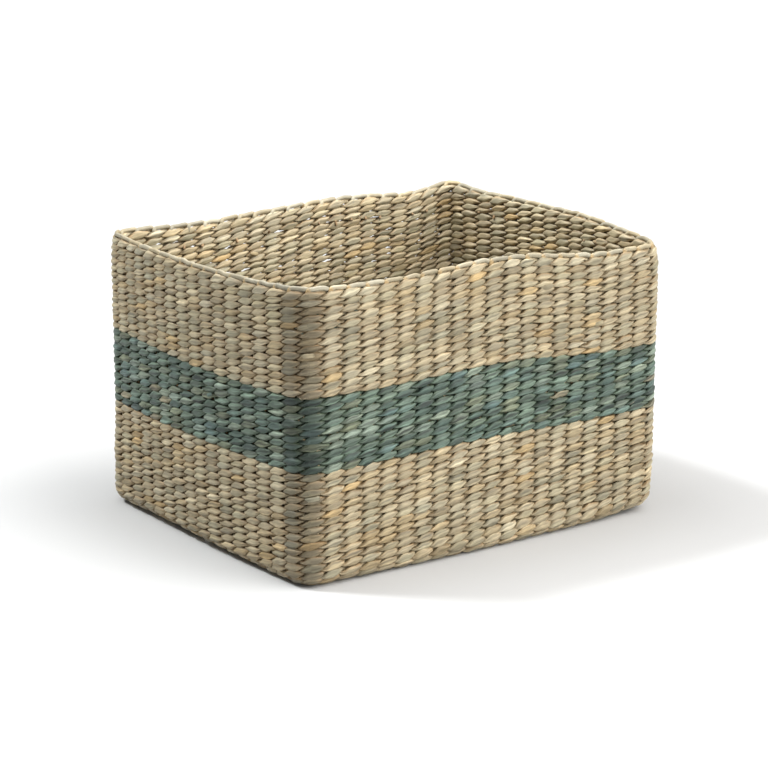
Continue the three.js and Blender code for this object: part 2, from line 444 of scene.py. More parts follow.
class Skin:
    """Gathers tubes into one mesh with a colour and a fibre coordinate on every vertex."""

    def __init__(self):
        self.points, self.colours, self.fibres, self.quads, self.fans = [], [], [], [], []
        self.total = 0

    def tube(self, rings, colours, fibres, closed):
        """Adds a tube of points (rings, sides, 3). One that isn't closed on itself gets a cap at each end."""
        count, sides = rings.shape[:2]
        index = self.total + np.arange(count * sides).reshape(count, sides)
        here = index if closed else index[:-1]
        ahead = np.roll(index, -1, 0) if closed else index[1:]
        quads = np.stack([here, ahead, np.roll(ahead, -1, 1), np.roll(here, -1, 1)], -1)
        self.quads.append(quads.reshape(-1, 4))
        self._add(rings.reshape(-1, 3), colours.reshape(-1, 3), fibres.reshape(-1, 3))
        if not closed:
            for end, flip in ((0, True), (count - 1, False)):
                pole = self.total
                self._add(rings[end].mean(0)[None], colours[end].mean(0)[None], fibres[end].mean(0)[None])
                rim, beyond = index[end], np.roll(index[end], -1)
                first, second = (beyond, rim) if flip else (rim, beyond)
                self.fans.append(np.stack([first, second, np.full(sides, pole)], 1))

    def _add(self, points, colours, fibres):
        self.points.append(points)
        self.colours.append(colours)
        self.fibres.append(fibres)
        self.total += len(points)

    def build(self, name, material, slot, nodes):
        """Makes the object, puts it on the one body and hides the CAD nodes it stands for."""
        points = settle(np.concatenate(self.points))
        points[:, 2] = np.maximum(points[:, 2], LOWEST_POINT)
        quads = np.concatenate(self.quads)
        fans = np.concatenate(self.fans) if self.fans else np.zeros((0, 3), int)
        mesh = bpy.data.meshes.new(name)
        mesh.vertices.add(len(points))
        mesh.vertices.foreach_set("co", points.astype(np.float32).ravel())
        mesh.loops.add(quads.size + fans.size)
        mesh.loops.foreach_set("vertex_index", np.concatenate([quads.ravel(), fans.ravel()]).astype(np.int32))
        sizes = np.concatenate([np.full(len(quads), 4), np.full(len(fans), 3)])
        mesh.polygons.add(len(sizes))
        mesh.polygons.foreach_set("loop_start", (np.cumsum(sizes) - sizes).astype(np.int32))
        mesh.update(calc_edges=True)
        mesh.shade_smooth()
        colour = mesh.attributes.new("stitch_colour", "FLOAT_COLOR", "POINT")
        rgba = np.column_stack([np.concatenate(self.colours), np.ones(len(points))])
        colour.data.foreach_set("color", rgba.astype(np.float32).ravel())
        fibre = mesh.attributes.new("fibre", "FLOAT_VECTOR", "POINT")
        fibre.data.foreach_set("vector", np.concatenate(self.fibres).astype(np.float32).ravel())
        mesh.materials.append(material)
        piece = added(name, mesh)
        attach(piece, "root")
        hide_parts(*nodes)


def fibre_places(along, wide, thin):
    """The grain's own coordinates in mm: along the strand, and across it in two directions."""
    return np.stack([np.broadcast_to(along[:, None], wide.shape), wide / MM, thin / MM], -1)


def section_frames(centres, outs, closed):
    """Two directions across a path at each point: one nearest to outs, and one square to it and the path."""
    if closed:
        along = np.roll(centres, -1, 0) - np.roll(centres, 1, 0)
    else:
        along = np.gradient(centres, axis=0)
    along = unit(along)
    across = unit(outs - (outs * along).sum(1, keepdims=True) * along)
    return across, np.cross(across, along)


# ---- weft


def blended(values, u):
    """A stitch's own value near its stake, passing smoothly to the next stitch's between the stakes."""
    count = len(values)
    before = np.floor(u).astype(int)
    share = smoothstep(*STITCH_BLEND, u - before)
    return values[before % count] * (1 - share) + values[(before + 1) % count] * share


def crease_profile(angles, turns, depth):
    """Lengthwise folds of the leaves in a strand: a radius factor, and how deep in a fold each point lies."""
    broad = np.abs(np.sin(BROAD_FOLDS * angles[None] + turns[0][:, None]))
    fine = np.abs(np.sin(FINE_FOLDS * angles[None] + turns[1][:, None]))
    lobes = BROAD_SHARE * broad + (1 - BROAD_SHARE) * fine
    return 1 + depth[:, None] * (lobes - FOLD_LEVEL), np.clip(1 - FOLD_SHARPNESS * lobes, 0, 1)


def fuller(value):
    """Turns an ellipse's sine or cosine into a squarer section's."""
    return np.sign(value) * np.abs(value) ** SECTION_FULLNESS


def stitch_share(u, angles, which):
    """Which stitch a point belongs to, its share of the next one, and its place along the one it shows.

    A stitch stays in view past the middle between two stakes on the side it is seen from, so the change from
    one stitch to the next comes later on that side and earlier on the other.
    """
    before = np.floor(u).astype(int)
    past = (u - before)[:, None]
    goes_in = np.where((before + which) % 2 == 0, 1, -1)
    turn = past - STITCH_REACH * goes_in[:, None] * np.cos(angles)[None]
    place = np.where(turn < 0.5, past, past - 1)
    next_share = smoothstep(*STITCH_CHANGE, turn)
    return before, next_share[..., None], place[..., None]


def row_wave(rng, u, count):
    """A slow rise and fall of a whole course."""
    waves = [
        amount * np.sin(2 * np.pi * rng.integers(*WAVES_PER_ROW) * u / count + rng.uniform(0, ANY_PHASE))
        for amount in ROW_WAVES
    ]
    return sum(waves)


class StitchDraws:
    """What differs from stitch to stitch along one strand. The order of the draws matters to the result."""

    def __init__(self, course, u, rng):
        count = course.ring.count

        def varied(usual, spread):
            return blended(usual + spread * rng.standard_normal(count), u)

        self.width = varied(1, WIDTH_SPREAD)
        self.thickness = varied(1, THICKNESS_SPREAD)
        self.drift = varied(0, DRIFT_SPREAD)
        self.stand = varied(0, STAND_SPREAD)
        self.slope = varied(course.lean, SLOPE_SPREAD)
        self.roll = varied(0, ROLL_SPREAD)
        self.fold_depth = blended(rng.uniform(*FOLD_DEPTHS, count), u)
        self.turns = [blended(rng.uniform(0, 2 * np.pi, count), u) + twist * u for twist in FOLD_TWISTS]
        self.picks = pick_colours(rng, course.palette, count)
        leaves = rng.normal(0, course.streak, (count, SIDES))
        self.leaves = LEAF_KEEPING * (leaves + np.roll(leaves, 1, axis=1))
        self.warm = blended(np.clip(rng.normal(WARM_MIDDLE, WARM_SPREAD, count), 0, 1), u)
        self.grain_start = rng.uniform(0, ANY_GRAIN)


def strand_path(course, which, u, draws):
    """A strand's middle line, the way out of the wall, its half sizes, and how nearly it is over a stake.

    The strand swings once up and down for every two stakes. Swing is 1 where it goes into the wall at the top
    of its row and -1 where it comes out at the bottom.
    """
    centre, out, rise = course.ring.frame_at(u)
    phase = np.pi * (u + which + course.slide)
    swing = np.sin(phase)
    over = 1 - swing**2
    slit = course.slit_beside(u, swing)

    between = TALL_TAIL + (TALL_HEAD - TALL_TAIL) * (1 + swing) / 2
    tall = between + (TALL_OVER - between) * over ** (TAPER - TAPER_LEAN * swing)
    kept_edge = EDGE_KEEPING * course.scale * draws.slope * (TALL_OVER - tall)
    lift = np.sign(swing) * (kept_edge - SLIT_OPENING * slit)
    lift = lift + SLANT * swing - SAG_BETWEEN * (1 - over) + draws.drift + course.wave

    depth_share = np.sign(np.cos(phase)) * np.abs(np.cos(phase)) ** DIVE
    stand_off = OFFSET * depth_share + draws.stand * over
    line = centre + out * stand_off[:, None] + rise * lift[:, None]
    half_thick = (THICK_BETWEEN + (THICK_OVER - THICK_BETWEEN) * over) * draws.thickness
    half_tall = tall * draws.width * course.scale * (1 - SLIT_THINNING * slit)
    return line, out, half_thick, half_tall, over


def rolled_rings(line, out, local_out, local_up, roll):
    """Section points round a closed path, each section rolled a little about the path."""
    across, up = section_frames(line, out, closed=True)
    cosine, sine = np.cos(roll)[:, None], np.sin(roll)[:, None]
    turned_out = local_out * cosine - local_up * sine * ROLL_OUT_SHARE
    turned_up = local_up * cosine + local_out * sine
    return line[:, None] + across[:, None] * turned_out[..., None] + up[:, None] * turned_up[..., None]


def strand_colours(course, which, u, angles, over, fold, draws):
    """Every point's colour: its stitch's own, warm at edges and head, with painted shade and a painted
    highlight.
    """
    count = course.ring.count
    side = np.sin(angles)[None, :, None]
    before, share, place = stitch_share(u, angles, which)
    outside = (np.arange(count) + which) % 2 == 0
    # Painted shade: the outer stitches on the front left corner are darkened.
    corner_shade_factor = 1 - CORNER_PAINTED_SHADE * (course.ring.on_front_left_corner() & outside)
    tones = draws.picks[:, None] * (1 + draws.leaves)[..., None] * corner_shade_factor[:, None, None]
    colours = tones[before % count] * (1 - share) + tones[(before + 1) % count] * share
    colours = colours * (1 - FOLD_SHADE * fold[..., None])

    top_edge = TOP_EDGE_WARMTH * smoothstep(*TOP_FADE, side)
    bottom_edge = BOTTOM_EDGE_WARMTH * smoothstep(*BOTTOM_FADE, -side)
    head = HEAD_WARMTH * smoothstep(*HEAD_FADE, place) * smoothstep(*HEAD_TOP_FADE, side)
    warmth = np.clip(draws.warm[:, None, None] * (top_edge + bottom_edge) + head, 0, MOST_WARMTH)
    colours = colours * (1 - warmth) + course.edge_and_shade_colour * warmth

    # Painted highlight across the middle of each stitch, and painted shade at its tail.
    light = MIDDLE_PAINTED_HIGHLIGHT * smoothstep(*HIGHLIGHT_FADE, np.abs(place - HIGHLIGHT_PLACE))
    shade = TAIL_SHADE * smoothstep(*TAIL_FADE, place)
    colours = colours * (1 + light - shade)
    # Painted shade in the recess between stakes, mixed towards the warm edge colour.
    recess_shade = RECESS_PAINTED_SHADE * smoothstep(*RECESS_SHADE_FADE, over)[:, None, None]
    return colours * (1 - recess_shade) + course.edge_and_shade_colour * RECESS_SHADE_TONE * recess_shade


def add_strand(skin, course, which, u, rng):
    """One of the two strands of a course, all the way round."""
    draws = StitchDraws(course, u, rng)
    line, out, half_thick, half_tall, over = strand_path(course, which, u, draws)
    angles = np.linspace(0, 2 * np.pi, SIDES, endpoint=False)
    factor, fold = crease_profile(angles, draws.turns, draws.fold_depth)
    local_out = half_thick[:, None] * fuller(np.cos(angles)) * factor
    local_up = half_tall[:, None] * fuller(np.sin(angles)) * factor
    rings = rolled_rings(line, out, local_out, local_up, draws.roll)
    colours = strand_colours(course, which, u, angles, over, fold, draws)
    along = course.ring.distance(u) / MM + draws.grain_start
    skin.tube(rings, colours, fibre_places(along, local_out, local_up), closed=True)


class Course:
    """One row of twining: its ring, its leaves' colours, its size, and its slits to the rows on each side."""

    def __init__(self, ring, palette, edge_and_shade_colour, streak, scale=1.0, lean=1.0):
        self.ring = ring
        self.palette = palette
        self.edge_and_shade_colour = edge_and_shade_colour
        self.streak = streak
        self.scale = scale
        self.lean = lean
        self.above = np.zeros(ring.count)
        self.below = np.zeros(ring.count)
        self.wave = 0.0
        self.slide = 0.0

    def slit_beside(self, u, swing):
        """How open the slit beside a strand is: the one above its row at its head, below it at its tail."""
        gap = np.floor(u).astype(int) % self.ring.count
        return np.where(swing > 0, self.above[gap], self.below[gap]) * np.abs(swing) ** SLIT_SHAPE

    def add_to(self, skin, rng):
        """Adds both strands, which share the row's wave and the places of its stitches."""
        count = self.ring.count
        u = np.arange(count * STEPS_PER_STITCH) / STEPS_PER_STITCH
        self.wave = row_wave(rng, u, count)
        self.slide = blended(STITCH_SLIDE * rng.standard_normal(count), u)
        for which in (0, 1):
            add_strand(skin, self, which, u, rng)


def open_slits(courses, rng):
    """Leaves see-through slits between some stitches of neighbouring courses, mostly in the back wall."""
    for row, (upper, lower) in enumerate(zip(courses, courses[1:])):
        count = upper.ring.count
        centre, _, _ = upper.ring.frame_at(np.arange(count) + 0.5)
        straight = np.abs(centre[:, 0]) < HALF_LENGTH - CORNER_RADIUS
        in_back = (centre[:, 1] > 0) & straight
        back_share = BACK_SLIT_SHARE if row >= FIRST_SLIT_ROW else SLIT_SHARE
        chance = np.where(in_back, back_share, SLIT_SHARE * straight)
        opening = np.where(rng.random(count) < chance, rng.uniform(*SLIT_SIZES, count), 0)
        upper.below = opening
        lower.above = opening


def wall_rings(top, bottom, count):
    """Rings of a stretch of wall, from the top down."""
    pitch = (top - bottom) / count
    return [Ring(WALL / 2, top - (i + 0.5) * pitch, 0.0) for i in range(count)]


def edge_rings():
    """Rings round the lower edge."""
    bend = EDGE_RADIUS - WALL / 2
    rings = []
    for i in range(EDGE_COURSES):
        tilt = math.radians(90) * (i + 0.5) / EDGE_COURSES
        inset = EDGE_RADIUS - bend * math.cos(tilt)
        rings.append(Ring(inset, EDGE_RADIUS - bend * math.sin(tilt), tilt))
    return rings


def floor_rings():
    """Nested rings across the floor, from the edge to the middle."""
    pitch = (HALF_WIDTH - EDGE_RADIUS) / FLOOR_COURSES
    flat = math.radians(90)
    return [Ring(EDGE_RADIUS + (i + 0.5) * pitch, WALL / 2, flat) for i in range(FLOOR_COURSES)]


def weave_band(name, courses, material, slot, node, rng):
    """Turns a run of courses into pieces of a few courses each."""
    for start in range(0, len(courses), COURSES_PER_PIECE):
        skin = Skin()
        for course in courses[start : start + COURSES_PER_PIECE]:
            course.add_to(skin, rng)
        skin.build(f"{name}_{start // COURSES_PER_PIECE + 1:02d}", material, slot, [node])


# ---- stakes


def wall_reach(place, half_side, other_half_side):
    """Distance from the middle of the basket to the middle of a wall, at a stake's place along it."""
    radius = CORNER_RADIUS - WALL / 2
    into_corner = max(0.0, abs(place) - (other_half_side - CORNER_RADIUS))
    return half_side - CORNER_RADIUS + math.sqrt(radius**2 - into_corner**2)


def stake_profile(reach, lean, floor_height):
    """Half of a stake's U from its tip to the middle of the floor, as distance out and height."""
    bend = EDGE_RADIUS - WALL / 2
    heights = np.linspace(TOP_OF_WEAVE, EDGE_RADIUS, STAKE_WALL_STEPS)
    wall = np.column_stack([reach + lean * heights, heights])
    angles = np.radians(np.linspace(*STAKE_BEND))
    drop = EDGE_RADIUS - floor_height
    turn = np.column_stack([wall[-1, 0] - bend * (1 - np.cos(angles)), EDGE_RADIUS - drop * np.sin(angles)])
    inwards = np.linspace(turn[-1, 0], 0, STAKE_FLOOR_STEPS + 1)[1:]
    flat = np.column_stack([inwards, np.full(STAKE_FLOOR_STEPS, floor_height)])
    return np.vstack([wall, turn, flat])


def stake_line(place, lies_along_x):
    """A stake's whole middle line, and the way along the wall that its flat face spreads."""
    if lies_along_x:
        reach = wall_reach(place, HALF_LENGTH, HALF_WIDTH) + end_bow(place, 0)
        lean = (end_bow(place, HEIGHT) - end_bow(place, 0)) / HEIGHT
        half = stake_profile(reach, lean, WALL / 2 + STAKE_LAYER)
    else:
        half = stake_profile(wall_reach(place, HALF_WIDTH, HALF_LENGTH), 0.0, WALL / 2 - STAKE_LAYER)
    mirrored = half[-2::-1] * np.array([-1, 1])
    outline = np.vstack([half, mirrored])
    fixed = np.full(len(outline), place)
    plan, sideways = (outline[:, 0], fixed), (0.0, 1.0, 0.0)
    if not lies_along_x:
        plan, sideways = (fixed, outline[:, 0]), (1.0, 0.0, 0.0)
    return np.column_stack([*plan, outline[:, 1]]), sideways


def add_stake(skin, place, lies_along_x, rng):
    """One flat twisted cord, down one wall, along inside the floor and up the wall opposite."""
    line, sideways = stake_line(place, lies_along_x)
    across, up = section_frames(line, np.broadcast_to(sideways, line.shape), closed=False)
    angles = np.linspace(0, 2 * np.pi, STAKE_SIDES, endpoint=False)
    twist = np.arange(len(line)) * STAKE_TWIST + rng.uniform(0, ANY_TWIST)
    ridge = 1 + STAKE_RIDGE * np.sin(2 * angles[None] + twist[:, None])
    wide = STAKE_HALF_WIDTH * np.cos(angles) * ridge
    thin = STAKE_HALF_THICKNESS * np.sin(angles) * ridge
    rings = line[:, None] + across[:, None] * wide[..., None] + up[:, None] * thin[..., None]
    tone = STAKE_COLOUR * (1 + STAKE_TONE_SPREAD * rng.standard_normal())
    colours = tone * (1 - STAKE_RIDGE_SHADE + STAKE_RIDGE_SHADE * ridge[..., None])
    along = np.linspace(0, STAKE_GRAIN_LENGTH, len(line)) + rng.uniform(0, STAKE_ANY_GRAIN)
    skin.tube(rings, colours, fibre_places(along, wide, thin), closed=False)


# ---- border and trimmings

SWEEP_TWISTS = (0.03, -0.02)
SWEEP_FOLD_SHADE = 0.3
SWEEP_ANY_GRAIN = 900


def sweep(skin, line, outs, half_wide, half_tall, colours, rng, sides=12, depth=0.05):
    """A soft strip along a path, with capped ends, lengthwise folds and a colour at each point."""
    across, up = section_frames(line, outs, closed=False)
    angles = np.linspace(0, 2 * np.pi, sides, endpoint=False)
    turns = [rng.uniform(0, 2 * np.pi) + twist * np.arange(len(line)) for twist in SWEEP_TWISTS]
    factor, fold = crease_profile(angles, turns, np.full(len(line), depth))
    wide = half_wide[:, None] * np.cos(angles) * factor
    tall = half_tall[:, None] * np.sin(angles) * factor
    rings = line[:, None] + across[:, None] * wide[..., None] + up[:, None] * tall[..., None]
    tones = np.broadcast_to(colours[:, None], rings.shape) * (1 - SWEEP_FOLD_SHADE * fold[..., None])
    along = travelled(line) / MM + rng.uniform(0, SWEEP_ANY_GRAIN)
    skin.tube(rings, tones, fibre_places(along, wide, tall), closed=False)


def path_through(keys, count):
    """A smooth path (a Catmull-Rom curve) through key points, each row of keys being one point."""
    keys = np.asarray(keys, float)
    padded = np.vstack([2 * keys[0] - keys[1], keys, 2 * keys[-1] - keys[-2]])
    just_short = len(keys) - 1 - 1e-9
    places = np.linspace(0, just_short, count)
    i = np.floor(places).astype(int)
    t = (places - i)[:, None]
    p0, p1, p2, p3 = padded[i], padded[i + 1], padded[i + 2], padded[i + 3]
    slope = (p2 - p0) * t
    square = (2 * p0 - 5 * p1 + 4 * p2 - p3) * t**2
    cube = (3 * (p1 - p2) + p3 - p0) * t**3
    return 0.5 * (2 * p1 + slope + square + cube)


def on_wall(ring, keys):
    """Puts points on the wall, each given as its place in stakes, its distance out and its height."""
    centre, out, _ = ring.frame_at(keys[:, 0])
    points = centre + out * keys[:, 1:2]
    points[:, 2] = keys[:, 2]
    return points, out


# A border strip's key points. It turns over at its own stake and reaches the next one. Each row: which of the
# two it is counted from, how far past that in stakes, the way out of the wall and the depth below the top in
# mm, and which of three random wobbles lifts it (3 for none).
BORDER_KEYS = (
    ("turn", 0, 0.3, 11.0, 3),
    ("turn", 0, 0.8, 7.0, 3),
    ("turn", 0.01, 1.1, 4.4, 3),
    ("turn", 0.07, 0.9, 2.5, 0),
    ("turn", 0.22, 0.5, 2.0, 0),
    ("turn", 0.55, 0.2, 2.0, 1),
    ("reach", -0.14, -0.3, 2.3, 2),
    ("reach", -0.02, -1.4, 3.6, 2),
    ("reach", 0.03, -2.0, 6.0, 3),
    ("reach", 0.04, -2.2, 9.0, 3),
)
# Where the turn and the reach lie beside their stakes, as a mean and a standard deviation in stakes
TURN_PLACE = (-0.04, 0.03)
REACH_PLACE = (-0.02, 0.03)
BORDER_WOBBLE = 0.3 * MM
BORDER_STEPS = 46
BORDER_SIZE_SPREAD = 0.06
WRINKLE = 0.07
WRINKLE_RATE = 95
KNUCKLE_HALF_WIDE = 1.3
KNUCKLE_HALF_TALL = 2.4
BODY_WIDENS = 0.4
BODY_FLATTENS = 0.5
BORDER_END_SHARPNESS = 22
BORDER_LEAST_END = 0.04
BORDER_TONE_SPREAD = 0.1
TUCKED_SHADE = 0.4
# Where along the strip, from 0 to 1, its body and pale part begin, its wrinkles end and it goes in
BODY_BEGINS = (0.2, 0.42)
PALE_BEGINS = (0.26, 0.4)
WRINKLES_END = (0.5, 0.4)
TUCK_BEGINS = (0.8, 0.92)


def add_border_strip(skin, ring, stake, rng):
    """A stake's folded end: up beside the top course, along the top edge, and in behind the next stake."""
    wobbles = [*rng.normal(0, BORDER_WOBBLE, 3), 0.0]
    start = {
        "turn": stake + rng.normal(*TURN_PLACE),
        "reach": stake + 1 + rng.normal(*REACH_PLACE),
    }
    keys = [
        (start[end] + past, out * MM, HEIGHT - depth * MM + wobbles[wobble])
        for end, past, out, depth, wobble in BORDER_KEYS
    ]
    line, outs = on_wall(ring, path_through(keys, BORDER_STEPS))
    share = np.linspace(0, 1, len(line))
    body = smoothstep(*BODY_BEGINS, share)
    ripple = np.sin(share * WRINKLE_RATE + rng.uniform(0, ANY_TWIST))
    wrinkle = 1 + WRINKLE * ripple * smoothstep(*WRINKLES_END, share)
    ends = np.sqrt(np.clip(np.minimum(share, 1 - share) * BORDER_END_SHARPNESS, BORDER_LEAST_END, 1))
    wide_factor, tall_factor = 1 + BORDER_SIZE_SPREAD * rng.standard_normal(2)
    half_wide = (KNUCKLE_HALF_WIDE + BODY_WIDENS * body) * MM * ends * wrinkle * wide_factor
    half_tall = (KNUCKLE_HALF_TALL - BODY_FLATTENS * body) * MM * ends * wrinkle * tall_factor
    pale = pick_colours(rng, PALE, 1)[0]
    tan = KNUCKLE_COLOUR * (1 + BORDER_TONE_SPREAD * rng.standard_normal())
    to_pale = smoothstep(*PALE_BEGINS, share)[:, None]
    tucked = 1 - TUCKED_SHADE * smoothstep(*TUCK_BEGINS, share)[:, None]
    colours = (tan * (1 - to_pale) + pale * to_pale) * tucked
    sweep(skin, line, outs, half_wide, half_tall, colours, rng)


# A trimmed end: its place and lean in stakes and its droop in mm, as mean and standard deviation, and its cut
STUB_PLACE = (0.22, 0.05)
STUB_LEAN = (0.05, 0.07)
STUB_DROOP = (-1.5, 1.2)
STUB_TIP_SPREAD = 0.5 * MM
STUB_HALF_ROOT = 1.0
STUB_SWELL = 0.2
STUB_TONE_SPREAD = 0.18
CUT_SIZE = 0.55
CUT_SHARPNESS = 30
CUT_SHADE = 0.5
CUT_BEGINS = (0.93, 1.0)


def add_stub(skin, ring, stake, rng):
    """A trimmed stake end that pokes out of the inner wall, leaning and drooping a little."""
    start = HEIGHT - STUB_DROP + rng.normal(0, STUB_TIP_SPREAD)
    lean = rng.normal(*STUB_LEAN)
    droop = rng.normal(*STUB_DROOP) * MM
    place = stake + rng.normal(*STUB_PLACE)
    keys = [
        (place - 0.04, -1.0 * MM, start + 1.5 * MM),
        (place, -3.2 * MM, start + 0.5 * MM),
        (place + lean, -4.9 * MM + rng.normal(0, 0.5) * MM, start + droop),
    ]
    line, outs = on_wall(ring, path_through(keys, TRIMMING_STEPS))
    up = np.broadcast_to(UP, outs.shape)
    share = np.linspace(0, 1, TRIMMING_STEPS)
    cut = np.clip((1 - share) * CUT_SHARPNESS + CUT_SIZE, 0, 1)
    half = (STUB_HALF_ROOT + STUB_SWELL * share) * MM * cut
    tone = STUB_COLOUR * (1 + STUB_TONE_SPREAD * rng.standard_normal())
    colours = tone * (1 - CUT_SHADE * smoothstep(*CUT_BEGINS, share))[:, None]
    sweep(skin, line, up, half, half, colours, rng, sides=9, depth=0.16)


# A loose fibre: its length in stakes, and how far it stands away and half its thickness in mm
FIBRE_LENGTHS = (0.15, 0.5)
FIBRE_REACHES = (0.6, 3.2)
FIBRE_HALF_ROOT = 0.22
FIBRE_HALF_TIP = 0.1


def add_loose_fibre(skin, ring, rng):
    """A single hair of seagrass that has worked loose."""
    side = rng.choice([-1, 1])
    place = rng.uniform(0, ring.count)
    height = rng.uniform(20 * MM, HEIGHT - 10 * MM)
    length = rng.uniform(*FIBRE_LENGTHS) * rng.choice([-1, 1])
    away = rng.uniform(*FIBRE_REACHES) * MM
    keys = [
        (place, side * 3.6 * MM, height),
        (place + 0.35 * length, side * (4.6 * MM + 0.6 * away), height + rng.normal(0, 1.2) * MM),
        (place + length, side * (4.4 * MM + away), height + rng.normal(0, 3.0) * MM),
    ]
    line, outs = on_wall(ring, path_through(keys, TRIMMING_STEPS))
    half = np.linspace(FIBRE_HALF_ROOT, FIBRE_HALF_TIP, TRIMMING_STEPS) * MM
    colours = np.broadcast_to(pick_colours(rng, PALE, 1)[0], (TRIMMING_STEPS, 3))
    sweep(skin, line, outs, half, half, colours, rng, sides=5, depth=0.0)


TAIL_PLACE = (0.1, 0.1)
TAIL_HALF_THICK = 0.5 * MM
TAIL_HALF_WIDTHS = (1.1, 1.9)
TAIL_TIP_SHARPNESS = 9


def add_spliced_tail(skin, ring, palette, low, high, rng):
    """The end of a strand where a new one was laid in: a short flat tongue lying over a stitch."""
    side = rng.choice([-1, 1])
    place = round(rng.uniform(0, ring.count)) + rng.normal(*TAIL_PLACE)
    height = rng.uniform(low, high)
    keys = [
        (place - 0.30, side * 2.6 * MM, height - 1.6 * MM),
        (place - 0.05, side * 5.0 * MM, height - 0.4 * MM),
        (place + 0.28, side * 5.2 * MM, height + 0.9 * MM + rng.normal(0, 0.5) * MM),
    ]
    line, outs = on_wall(ring, path_through(keys, TRIMMING_STEPS))
    to_tip = (1 - np.linspace(0, 1, TRIMMING_STEPS)) * TAIL_TIP_SHARPNESS
    half_wide = TAIL_HALF_THICK * np.clip(to_tip + 0.3, 0, 1)
    half_tall = rng.uniform(*TAIL_HALF_WIDTHS) * MM * np.clip(to_tip + 0.5, 0, 1)
    colours = np.broadcast_to(pick_colours(rng, palette, 1)[0], (TRIMMING_STEPS, 3))
    sweep(skin, line, outs, half_wide, half_tall, colours, rng, sides=10, depth=0.12)


# ---- materials

# Noise scales per mm of the fibre coordinate: along the strand, then across it
STREAK_GRAIN = (0.06, 0.8, 0.8)
PATCH_GRAIN = (0.16, 0.25, 0.25)
FINE_GRAIN = (0.1, 2.2, 2.2)
STREAK_DETAIL = 4.0
PATCH_DETAIL = 2.0
PATCH_TONES = (0.9, 1.08)
STREAK_LIGHT_SHARE = 0.6
NOISE_LOW, NOISE_HIGH = 0.3, 0.7
SEAGRASS_SPECULAR = 0.35
BUMP_STRENGTH = 0.6


class Graph:
    """A material's node tree, with the few kinds of node that the seagrass needs."""

    def __init__(self, material):
        material.use_nodes = True
        self.nodes, self.links = material.node_tree.nodes, material.node_tree.links
        self.nodes.clear()

    def attribute(self, name):
        node = self.nodes.new("ShaderNodeAttribute")
        node.attribute_name = name
        return node

    def noise(self, fibre, scale, detail):
        """Noise that is stretched along the strand."""
        stretch = self.nodes.new("ShaderNodeVectorMath")
        stretch.operation = "MULTIPLY"
        stretch.inputs[1].default_value = scale
        self.links.new(fibre, stretch.inputs[0])
        texture = self.nodes.new("ShaderNodeTexNoise")
        texture.inputs["Scale"].default_value = 1.0
        texture.inputs["Detail"].default_value = detail
        self.links.new(stretch.outputs["Vector"], texture.inputs["Vector"])
        return texture.outputs["Fac"]

    def ranged(self, value, low, high):
        """Noise mapped to run from low to high."""
        node = self.nodes.new("ShaderNodeMapRange")
        node.inputs["From Min"].default_value = NOISE_LOW
        node.inputs["From Max"].default_value = NOISE_HIGH
        node.inputs["To Min"].default_value = low
        node.inputs["To Max"].default_value = high
        self.links.new(value, node.inputs["Value"])
        return node.outputs["Result"]

    def scaled(self, tone, factor):
        """A colour made lighter or darker by a factor."""
        node = self.nodes.new("ShaderNodeVectorMath")
        node.operation = "SCALE"
        self.links.new(tone, node.inputs[0])
        self.links.new(factor, node.inputs["Scale"])
        return node.outputs["Vector"]

    def bumped(self, height, distance):
        """The surface's normal, roughened by a height."""
        node = self.nodes.new("ShaderNodeBump")
        node.inputs["Strength"].default_value = BUMP_STRENGTH
        node.inputs["Distance"].default_value = distance
        self.links.new(height, node.inputs["Height"])
        return node.outputs["Normal"]


def seagrass_material(name, roughness, streaks, bump):
    """Dry leaf fibre: the stitch's own colour, streaked along the strand, with a fine lengthwise grain."""
    material = bpy.data.materials.new(name)
    graph = Graph(material)
    output = graph.nodes.new("ShaderNodeOutputMaterial")
    shader = graph.nodes.new("ShaderNodeBsdfPrincipled")
    graph.links.new(shader.outputs["BSDF"], output.inputs["Surface"])
    shader.inputs["Roughness"].default_value = roughness
    shader.inputs["Specular IOR Level"].default_value = SEAGRASS_SPECULAR

    colour = graph.attribute("stitch_colour").outputs["Color"]
    fibre = graph.attribute("fibre").outputs["Vector"]
    streak_tones = (1 - streaks, 1 + STREAK_LIGHT_SHARE * streaks)
    streak = graph.ranged(graph.noise(fibre, STREAK_GRAIN, STREAK_DETAIL), *streak_tones)
    patch = graph.ranged(graph.noise(fibre, PATCH_GRAIN, PATCH_DETAIL), *PATCH_TONES)
    graph.links.new(graph.scaled(graph.scaled(colour, streak), patch), shader.inputs["Base Color"])
    grain = graph.noise(fibre, FINE_GRAIN, STREAK_DETAIL)
    graph.links.new(graph.bumped(grain, bump), shader.inputs["Normal"])
    return material


# ---- stage


def plain_material(name, colour, roughness):
    material = bpy.data.materials.new(name)
    material.use_nodes = True
    shader = material.node_tree.nodes["Principled BSDF"]
    shader.inputs["Base Color"].default_value = (*colour, 1)
    shader.inputs["Roughness"].default_value = roughness
    return material


FLOOR_HALF = 15
FLOOR_COLOUR = (0.52, 0.52, 0.52)
FLOOR_ROUGHNESS = 0.9


def build_floor():
    corners = [(x * FLOOR_HALF, y * FLOOR_HALF, 0) for x, y in ((-1, -1), (1, -1), (1, 1), (-1, 1))]
    mesh = bpy.data.meshes.new("floor")
    mesh.from_pydata(corners, [], [(0, 1, 2, 3)])
    mesh.materials.append(plain_material("pale_floor", FLOOR_COLOUR, FLOOR_ROUGHNESS))
    floor = added("floor", mesh)


# Wide lights from far away. Each row: name, plan angle from +X towards +Y and elevation in degrees, strength,
# spread in degrees, and colour.
SUNS = (
    ("right_light", 304, 35, 4.1, 66, (1.0, 0.99, 0.97)),
    ("left_light", 132, 54, 2.8, 10, (0.96, 0.99, 1.0)),
    ("top_light", 0, 90, 1.35, 80, (1.0, 1.0, 1.0)),
)
WORLD_STRENGTH = 0.26
INSIDE_LIGHT_SIZE = 0.35
INSIDE_LIGHT_POWER = 2.4
INSIDE_LIGHT_HEIGHT = 0.62


